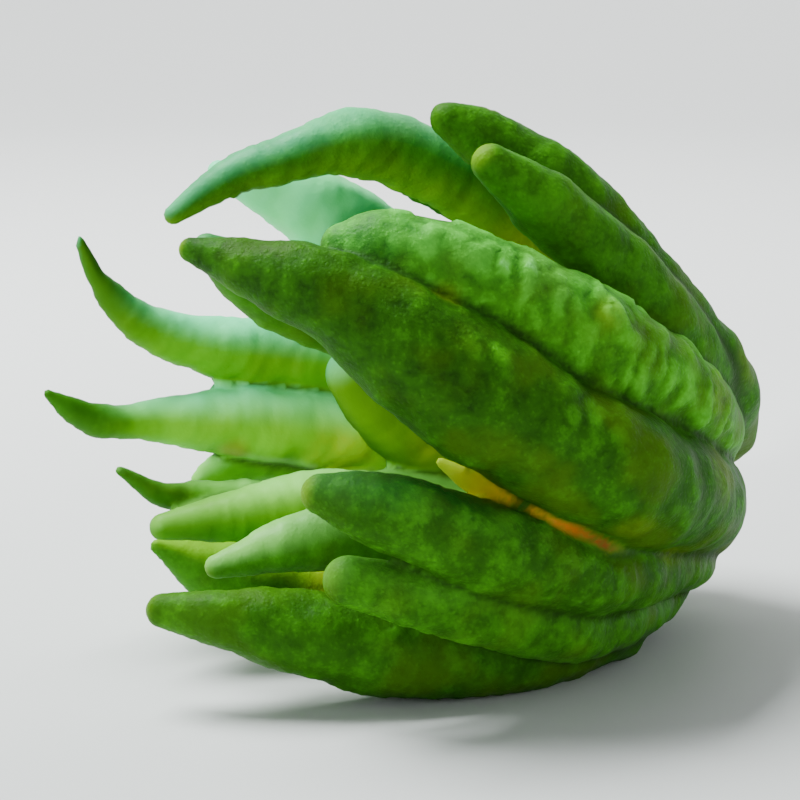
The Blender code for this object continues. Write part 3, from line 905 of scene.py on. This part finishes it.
def makeBark(mottle):
    material, tree, shader = newMaterial("bark")
    place = addNode(tree, "ShaderNodeTexCoord", -1500, 0).outputs["Object"]
    along = addNode(tree, "ShaderNodeMapping", -1300, 0)
    along.inputs["Rotation"].default_value = heel["axis"].to_track_quat("Z", "Y").inverted().to_euler()
    stretched = addNode(tree, "ShaderNodeVectorMath", -1100, 0, operation="MULTIPLY")
    stretched.inputs[1].default_value = (1, 1, bark["stretch"])
    plug(tree, place, along.inputs["Vector"])
    plug(tree, along.outputs["Vector"], stretched.inputs[0])
    skinMap = placeMottle(tree, mottle, stretched.outputs["Vector"], bark, -900, 0)
    level = sums(tree, "MULTIPLY", skinMap.outputs["Grain"], 0.5, -650, 300)
    level = sums(tree, "MULTIPLY_ADD", skinMap.outputs["Patches"], 0.5, -500, 300, level)
    colour = colourRamp(tree, level, bark["wood"], -350, 300)
    amount = sums(tree, "MULTIPLY_ADD", skinMap.outputs["Grain"], -0.4, -350, 50, 1.0)
    amount = sums(tree, "MULTIPLY", amount, readLayer(tree, "calyx", -500, 50), -200, 50)
    colour = blendColour(tree, amount, colour, bark["calyx"], -50, 300)
    amount = sums(tree, "MULTIPLY_ADD", skinMap.outputs["Patches"], -0.35, -350, -100, 1.0)
    amount = sums(tree, "MULTIPLY", amount, readLayer(tree, "cut", -500, -100), -200, -100)
    colour = blendColour(tree, amount, colour, bark["pith"], 150, 300)
    plug(tree, colour, shader.inputs["Base Color"])
    rough = sums(tree, "MULTIPLY_ADD", skinMap.outputs["Grain"], 0.15, 0, -250, bark["roughness"])
    plug(tree, rough, shader.inputs["Roughness"])
    shader.inputs["Specular IOR Level"].default_value = bark["specular"]
    bump = addNode(tree, "ShaderNodeBump", 150, -400)
    bump.inputs["Distance"].default_value = bark["bump"]
    plug(tree, skinMap.outputs["Height"], bump.inputs["Height"])
    plug(tree, bump.outputs["Normal"], shader.inputs["Normal"])
    shader.location = (400, 300)
    tree.nodes["Material Output"].location = (700, 300)
    return material


def dress(piece, material):
    piece.data.materials.clear()
    piece.data.materials.append(material)


studio = {
    "floor": (0.72, 0.73, 0.73, 1),
    "sky": (0.96, 0.99, 1.0, 1),
    "skyLight": 0.3,
    "radius": 1.5,          # metres from the fruit to the wall
    "bend": 0.5,            # radius of the curve between floor and wall
    "wall": 1.1,
    "sides": 96,
    "bendSteps": 8,
}


def makeFloor():
    # a round floor whose rim turns up into a low wall
    bpy.ops.object.select_all(action="DESELECT")
    bpy.ops.mesh.primitive_circle_add(
        vertices=studio["sides"], radius=studio["radius"] - studio["bend"], fill_type="NGON")
    floor = bpy.context.object
    floor.name = "floor"
    bpy.ops.object.mode_set(mode="EDIT")
    bpy.ops.mesh.select_mode(type="EDGE")
    bpy.ops.mesh.select_all(action="SELECT")
    bpy.ops.mesh.region_to_loop()
    steps = studio["bendSteps"]
    for i in range(steps):
        one, two = (math.pi / 2 * n / steps for n in (i, i + 1))
        start = studio["radius"] - studio["bend"] * (1 - math.sin(one))
        end = studio["radius"] - studio["bend"] * (1 - math.sin(two))
        rise = studio["bend"] * (math.cos(one) - math.cos(two))
        bpy.ops.mesh.extrude_region_move(TRANSFORM_OT_translate={"value": (0, 0, rise)})
        bpy.ops.transform.resize(value=(end / start, end / start, 1))
    rise = studio["wall"] - studio["bend"]
    bpy.ops.mesh.extrude_region_move(TRANSFORM_OT_translate={"value": (0, 0, rise)})
    bpy.ops.mesh.select_all(action="SELECT")
    bpy.ops.mesh.flip_normals()
    bpy.ops.mesh.normals_make_consistent(inside=True)
    bpy.ops.object.mode_set(mode="OBJECT")
    bpy.ops.object.shade_smooth()
    material, _, shader = newMaterial("paper")
    shader.inputs["Base Color"].default_value = studio["floor"]
    shader.inputs["Roughness"].default_value = 0.9
    shader.inputs["Specular IOR Level"].default_value = 0.1
    dress(floor, material)


lights = {
    # a soft window over the fingertips, a wash on the wall, and a narrow lamp that
    # reaches the fingers on the far side of the palm
    "window": {"kind": "AREA", "place": (-0.40, 0.20, 0.90), "aim": (0, 0, 0.06), "size": 0.55,
               "power": 25, "colour": (0.95, 1.0, 0.98)},
    "wash": {"kind": "AREA", "place": (0, 0.55, 0.9), "aim": (0, 1.5, 0.15), "size": 0.9,
             "power": 14, "colour": (1, 1, 1)},
    "palmLamp": {"kind": "SPOT", "place": (-0.68, -0.80, 0.44), "aim": (-0.05, 0.02, 0.06),
                 "size": 0.12, "power": 150, "colour": (0.92, 1.0, 0.97), "cone": 4.9},
}


def makeLights():
    for name, one in lights.items():
        bpy.ops.object.light_add(type=one["kind"], location=one["place"])
        lamp = bpy.context.object
        lamp.name = name
        lamp.data.energy = one["power"]
        lamp.data.color = one["colour"]
        lamp.rotation_euler = (Vector(one["aim"]) - lamp.location).to_track_quat("-Z", "Y").to_euler()
        if one["kind"] == "AREA":
            lamp.data.size = one["size"]
        else:
            lamp.data.shadow_soft_size = one["size"] / 2
            lamp.data.spot_size = math.radians(one["cone"])
            lamp.data.spot_blend = 1.0
    world = bpy.data.worlds.new("sky")
    bpy.context.scene.world = world
    world.use_nodes = True
    sky = world.node_tree.nodes["Background"]
    sky.inputs["Color"].default_value = studio["sky"]
    sky.inputs["Strength"].default_value = studio["skyLight"]


view = {
    "rise": 12.0,                       # degrees that the camera looks down
    "distance": 0.6,                    # metres
    "wide": 0.168,                      # metres across the picture, at the fruit
    "aim": (-0.0017, 0.0005, -0.0051),  # from the middle of the fruit
}


def makeCamera():
    aim = (cadLow + cadHigh) / 2 + Vector(view["aim"])
    rise = math.radians(view["rise"])
    back = Vector((0, -math.cos(rise), math.sin(rise)))
    bpy.ops.object.camera_add(location=aim + back * view["distance"])
    camera = bpy.context.object
    camera.rotation_euler = (-back).to_track_quat("-Z", "Y").to_euler()
    camera.data.lens = camera.data.sensor_width * view["distance"] / view["wide"]
    bpy.context.scene.camera = camera


citron = makeCitron()
mottle = makeMottle()
dress(citron, makeRind(mottle))
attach(citron, "root")
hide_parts("fruit")

stalkPiece = makeStalk()
placeStalk(stalkPiece)
dress(stalkPiece, makeBark(mottle))
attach(stalkPiece, "root")
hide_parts("stem")

makeFloor()
makeLights()
makeCamera()
